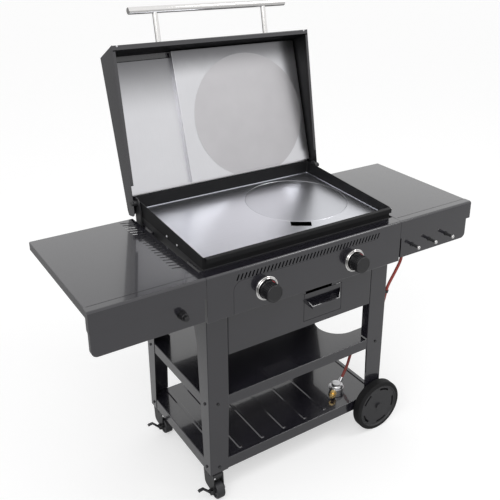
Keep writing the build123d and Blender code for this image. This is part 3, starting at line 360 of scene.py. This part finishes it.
def gas_hose():
    route = bpy.data.curves.new("hose_route", "CURVE")
    route.dimensions = "3D"
    route.bevel_depth = HOSE_DIAMETER / 2
    route.bevel_resolution = 6
    route.resolution_u = 12
    route.use_fill_caps = True
    spline = route.splines.new("NURBS")
    spline.points.add(len(HOSE_PLACES) - 1)
    for point, (x, y, z) in zip(spline.points, HOSE_PLACES):
        point.co = (x / 1000, back(y / 1000), z / 1000, 1.0)
    spline.order_u = 3
    spline.use_endpoint_u = True
    hose = bpy.data.objects.new("gas_hose_line", route)
    bpy.context.scene.collection.objects.link(hose)
    route.materials.append(finishes["hose_rubber"])
    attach(hose, "cart")
    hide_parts("gas_hose")
    x, y, z = HOSE_PLACES[0]
    return hose


gas_hose()


def faces_where(test):
    """Select the faces whose middle and normal pass the test."""
    bpy.ops.mesh.select_mode(type="FACE")
    bpy.ops.mesh.select_all(action="DESELECT")
    mesh = bmesh.from_edit_mesh(bpy.context.object.data)
    for face in mesh.faces:
        face.select_set(test(face.calc_center_median(), face.normal))
    bmesh.update_edit_mesh(bpy.context.object.data)


def edges_where(test):
    """Select the edges whose two ends both pass the test."""
    bpy.ops.mesh.select_mode(type="EDGE")
    bpy.ops.mesh.select_all(action="DESELECT")
    mesh = bmesh.from_edit_mesh(bpy.context.object.data)
    for edge in mesh.edges:
        edge.select_set(all(test(end.co) for end in edge.verts))
    bmesh.update_edit_mesh(bpy.context.object.data)


def round_bar(radius, length, sides):
    """Start a turned piece: a cylinder standing on the origin, in edit mode."""
    bpy.ops.object.select_all(action="DESELECT")
    middle = (0, 0, length / 2)
    bpy.ops.mesh.primitive_cylinder_add(vertices=sides, radius=radius, depth=length, location=middle)
    bpy.ops.object.transform_apply(location=True, rotation=True, scale=True)
    bpy.ops.object.mode_set(mode="EDIT")
    return bpy.context.object


def smooth():
    """Leave edit mode and shade the round faces smooth."""
    bpy.ops.mesh.select_all(action="SELECT")
    bpy.ops.mesh.normals_make_consistent(inside=False)
    bpy.ops.object.mode_set(mode="OBJECT")
    bpy.ops.object.shade_smooth_by_angle(angle=math.radians(32))


def copies(model, spots):
    """Set a copy of a piece at each place, its top turned to face a direction, as one piece."""
    made = []
    for place, way in spots:
        bpy.ops.object.select_all(action="DESELECT")
        model.select_set(True)
        bpy.context.view_layer.objects.active = model
        bpy.ops.object.duplicate()
        copy = bpy.context.object
        turn = Vector(way).to_track_quat("Z", "Y").to_matrix().to_4x4()
        copy.matrix_world = Matrix.Translation(place) @ turn
        bpy.ops.object.transform_apply(location=True, rotation=True, scale=True)
        made.append(copy)
    bpy.data.objects.remove(model)
    for copy in made:
        copy.select_set(True)
    bpy.context.view_layer.objects.active = made[0]
    if len(made) > 1:
        bpy.ops.object.join()
    return made[0]


def fitted(piece, name, finish, body):
    """Name a finished piece, coat it and let it ride on its body."""
    piece.name = name
    piece.data.name = name
    piece.data.materials.clear()
    piece.data.materials.append(finish)
    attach(piece, body)
    return piece


FORWARD = (0, -1, 0)
KNOB_HEIGHT = 0.763
KNOB_SIDE = 0.174
KNOB_SEAT = -0.0048
WHEEL_BORE = 0.0063


def bearing(spot):
    """Clock angle of a point on a turned piece, in degrees from its x axis."""
    return math.degrees(math.atan2(spot.y, spot.x)) % 360


def flute(spot):
    """Every other face around a knob's flank is sunk."""
    return int(bearing(spot) / 6) % 2 == 0


def knob_cap():
    """Fluted cap, tapered and rounded, with a dished face and a bore for its stem."""
    length = 0.0432
    cap = round_bar(0.03, length, 60)
    faces_where(lambda middle, way: way.z > 0.9)
    bpy.ops.transform.resize(value=(0.955, 0.955, 1), center_override=(0, 0, length))
    bpy.ops.mesh.inset(thickness=0.005)
    bpy.ops.mesh.inset(thickness=0.001, depth=-0.0007)
    edges_where(lambda spot: spot.z > length - 1e-5 and spot.xy.length > 0.028)
    bpy.ops.mesh.bevel(offset=0.0025, segments=4, affect="EDGES")
    faces_where(lambda middle, way: way.z < -0.9)
    bpy.ops.mesh.inset(thickness=0.0257)
    bpy.ops.mesh.extrude_region_move(TRANSFORM_OT_translate={"value": (0, 0, 0.0222)})
    flank = 0.028
    faces_where(lambda middle, way: middle.xy.length > flank and abs(way.z) < 0.08 and flute(middle))
    bpy.ops.mesh.inset(thickness=0.0003, depth=-0.0009, use_individual=True)
    smooth()
    return cap


def knob_mark():
    """Pointer mark let into the flank of a knob: a slim bar with rounded edges."""
    bpy.ops.object.select_all(action="DESELECT")
    turn = math.radians(62)
    spot = (0.0292 * math.cos(turn), 0.0292 * math.sin(turn), 0.013)
    bpy.ops.mesh.primitive_cube_add(size=0.002, location=spot, rotation=(0, 0, turn), scale=(1, 2.6, 6))
    bpy.ops.object.transform_apply(location=True, rotation=True, scale=True)
    mark = bpy.context.object
    bpy.ops.object.mode_set(mode="EDIT")
    bpy.ops.mesh.select_all(action="SELECT")
    bpy.ops.mesh.bevel(offset=0.0005, segments=2, affect="EDGES")
    smooth()
    return mark


def knob_bezel():
    """Stepped ring: a flange, a groove and a raised collar with a pointer notch."""
    ring = round_bar(0.04, 0.0022, 96)
    faces_where(lambda middle, way: way.z > 0.9)
    steps = (
        (0.0012, 0.0012),
        (0.0018, 0),
        (0.0004, -0.0014),
        (0.001, 0),
        (0.0004, 0.0038),
        (0.0008, 0.0008),
        (0.0012, 0),
        (0.0008, -0.0064),
    )
    for width, rise in steps:
        bpy.ops.mesh.inset(thickness=width, depth=rise)
    bpy.ops.mesh.delete(type="FACE")
    faces_where(lambda middle, way: way.z < -0.9)
    bpy.ops.mesh.delete(type="FACE")
    bpy.ops.mesh.select_mode(type="EDGE")
    bpy.ops.mesh.select_non_manifold()
    bpy.ops.mesh.bridge_edge_loops()
    faces_where(lambda middle, way: middle.z > 0.0055 and abs(bearing(middle) - 100) < 5)
    bpy.ops.transform.translate(value=(0, 0, -0.0028))
    smooth()
    return ring


def screw_head(radius, height):
    """Domed head with a round socket."""
    head = round_bar(radius, height, 24)
    faces_where(lambda middle, way: way.z > 0.9)
    bpy.ops.mesh.inset(thickness=radius * 0.5)
    bpy.ops.mesh.inset(thickness=radius * 0.06, depth=-height * 0.45)
    edges_where(lambda spot: spot.z > height * 0.9 and spot.xy.length > radius * 0.95)
    bpy.ops.mesh.bevel(offset=height * 0.6, segments=3, affect="EDGES")
    smooth()
    return head


def peg_tip():
    """Cup that caps the end of a peg."""
    cup = round_bar(0.0066, 0.0058, 32)
    edges_where(lambda spot: spot.z > 0.0057)
    bpy.ops.mesh.bevel(offset=0.0022, segments=4, affect="EDGES")
    faces_where(lambda middle, way: way.z < -0.9)
    bpy.ops.mesh.inset(thickness=0.0008)
    smooth()
    return cup


def in_pocket(spot):
    """Five arcs around a hub, each of 36 degrees, are sunk."""
    return (bearing(spot) - 51) % 72 < 36


def wheel_hub(radius, width, bore):
    """Hub of a road wheel: both faces grooved at the rim, dished and pocketed."""
    hub = round_bar(radius, width, 120)
    rim_steps = ((0.0016, 0), (0.0006, -0.0008), (0.001, 0), (0.0006, 0.0008), (0.0022, -0.003))
    pocket_steps = ((0.005, 0), (0.008, 0))
    pocket_outer = radius - 0.011
    pocket_inner = pocket_outer - 0.008
    for side in (1, -1):
        faces_where(lambda middle, way: way.z * side > 0.9)
        for thickness, rise in rim_steps + pocket_steps:
            bpy.ops.mesh.inset(thickness=thickness, depth=rise)
        bpy.ops.mesh.inset(thickness=pocket_inner - bore)
        bpy.ops.mesh.delete(type="FACE")
    edges_where(lambda spot: spot.xy.length < bore * 1.1)
    bpy.ops.mesh.bridge_edge_loops()
    for side in (1, -1):
        faces_where(
            lambda middle, way: way.z * side > 0.9
            and pocket_inner < middle.xy.length < pocket_outer
            and in_pocket(middle)
        )
        bpy.ops.mesh.extrude_region_move(TRANSFORM_OT_translate={"value": (0, 0, -0.012 * side)})
    smooth()
    return hub


for name in ("front_wheel", "rear_wheel"):
    low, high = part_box(name + "_hub")
    middle = (low + high) / 2
    hub = wheel_hub((high.x - low.x) / 2, high.y - low.y, WHEEL_BORE)
    hub = copies(hub, [((middle.x, high.y, middle.z), FORWARD)])
    fitted(hub, name + "_web", finishes["wheel_plastic"], name)
    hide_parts(name + "_hub")

red_mark = moulded("red_mark", (0.42, 0.012, 0.02), 0.35)
for side, name in ((-1, "left_knob"), (1, "right_knob")):
    x = side * KNOB_SIDE
    cap = copies(knob_cap(), [((x, back(KNOB_SEAT), KNOB_HEIGHT), FORWARD)])
    fitted(cap, name + "_cap", finishes["knob_plastic"], name)
    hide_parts(name)
    mark = copies(knob_mark(), [((x, back(KNOB_SEAT), KNOB_HEIGHT), FORWARD)])
    fitted(mark, name + "_mark", red_mark, name)
bezel_spots = [((side * KNOB_SIDE, back(-0.0008), KNOB_HEIGHT), FORWARD) for side in (-1, 1)]
bezels = copies(knob_bezel(), bezel_spots)
fitted(bezels, "bezel_rings", finishes["bright_steel"], "cart")
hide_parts("knob_bezels")
tip_spots = [((0.38 + step, back(-0.0297), 0.753), FORWARD) for step in (0.0605, 0.145, 0.231)]
fitted(copies(peg_tip(), tip_spots), "peg_tips", finishes["bright_steel"], "cart")
wall_spots = [((-0.365, back(deep), high), (-1, 0, 0)) for deep, high in ((0.285, 0.874), (0.214, 0.871))]
fitted(copies(screw_head(0.004, 0.0018), wall_spots), "griddle_screws", finishes["zinc"], "griddle")

rim_spots = [((side * 0.368, back(0.5828), 1.4262), OUT_OF_RIM) for side in (-1, 1)]
fitted(copies(screw_head(0.0035, 0.0018), rim_spots), "lid_rim_screws", finishes["zinc"], "lid")


def seam_shade_strip(side):
    """Painted shade: a thin matt black strip in the gap where a table's sheet meets its front strip."""
    low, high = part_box(side + "_table")
    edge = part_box(side + "_fascia")[0].y
    spot = ((low.x + high.x) / 2, edge + 0.0322, high.z - 0.0001)
    size = (high.x - low.x - 0.016, 0.0014, 0.0006)
    bpy.ops.object.select_all(action="DESELECT")
    bpy.ops.mesh.primitive_cube_add(size=1, location=spot, scale=size)
    bpy.ops.object.transform_apply(location=True, rotation=True, scale=True)
    return bpy.context.object


# Painted shade: these strips stand in for the shadow in each table's seam gap.
painted_seam_shade = Finish("painted_seam_shade", (0.008, 0.008, 0.009), 0.5)
for socket, value in matt_black(painted_seam_shade).items():
    painted_seam_shade.set(socket, value)
for side in ("left", "right"):
    fitted(seam_shade_strip(side), side + "_seam_shade_strip", painted_seam_shade.material, "cart")


def studio():
    """A white room: an even sky, a pale floor and two soft lamps."""
    world = bpy.data.worlds.new("studio")
    bpy.context.scene.world = world
    world.use_nodes = True
    tree = world.node_tree
    sky = tree.nodes["Background"]
    sky.inputs["Color"].default_value = (1, 1, 1, 1)
    path = tree.nodes.new("ShaderNodeLightPath")
    seen = Value(path.outputs["Is Camera Ray"]) + Value(path.outputs["Is Glossy Ray"])
    seen = seen + Value(path.outputs["Is Transmission Ray"])
    strength = 0.72 + (seen > 0.5) * 0.28
    tree.links.new(strength.socket, sky.inputs["Strength"])

    bpy.ops.object.select_all(action="DESELECT")
    bpy.ops.mesh.primitive_plane_add(size=60, location=(0, 0, 0))
    floor = bpy.context.object
    floor.name = "studio_floor"
    cloth = Finish("studio_floor", (0.6, 0.6, 0.6), 0.9)
    path = cloth.tree.nodes.new("ShaderNodeLightPath")
    mirrored = Value(path.outputs["Is Glossy Ray"]) + Value(path.outputs["Is Transmission Ray"])
    seen = Value(path.outputs["Is Camera Ray"]) + mirrored * 0.1
    cloth.set("Emission Color", cloth.mix(seen, (0, 0, 0), (0.5, 0.5, 0.5)))
    cloth.set("Emission Strength", 1.0)
    # Painted shade: to glossy rays only, the floor's left part is darker, so sheets that face left mirror a
    # dimmer floor.
    shade = mirrored * cloth.fade(cloth.along((-1, 0, 0)), 0.4, 1.2)
    cloth.set("Base Color", cloth.mix(shade, (0.6, 0.6, 0.6), (0.2, 0.2, 0.2)))
    floor.data.materials.append(cloth.material)

    lamps = (
        ("key_lamp", (-2.6, -2.4, 3.6), 3.0, 60),
        ("fill_lamp", (2.3, -1.6, 3.9), 1.2, 26),
    )
    for name, place, size, power in lamps:
        lamp = bpy.data.lights.new(name, "AREA")
        lamp.size = size
        lamp.energy = power
        stand = bpy.data.objects.new(name, lamp)
        bpy.context.scene.collection.objects.link(stand)
        stand.location = place
        aim = Vector((0, 0, 0.7)) - Vector(place)
        stand.rotation_euler = aim.to_track_quat("-Z", "Y").to_euler()


def photo_camera():
    """The photograph's standpoint, solved from the object's straight edges."""
    yaw = math.radians(35.53)
    pitch = math.radians(21.668)
    roll = math.radians(1.1346)
    ahead = Vector((math.sin(yaw) * math.cos(pitch), math.cos(yaw) * math.cos(pitch), -math.sin(pitch)))
    right = Vector((math.cos(yaw), -math.sin(yaw), 0))
    up = right.cross(ahead)
    level_right = right * math.cos(roll) + up * math.sin(roll)
    level_up = up * math.cos(roll) - right * math.sin(roll)
    lens = bpy.data.cameras.new("photo_camera")
    lens.sensor_width = 36.0
    lens.sensor_fit = "HORIZONTAL"
    lens.lens = 708.12 / 500 * 36.0
    lens.shift_x = (250 - 293.16) / 500
    lens.shift_y = (200.6 - 250) / 500
    camera = bpy.data.objects.new("photo_camera", lens)
    bpy.context.scene.collection.objects.link(camera)
    turn = Matrix((level_right, level_up, -ahead)).transposed().to_4x4()
    camera.matrix_world = Matrix.Translation((-1.2251, back(-1.6025), 1.8131)) @ turn
    bpy.context.scene.camera = camera


studio()
photo_camera()
bpy.context.scene.view_settings.view_transform = "Standard"
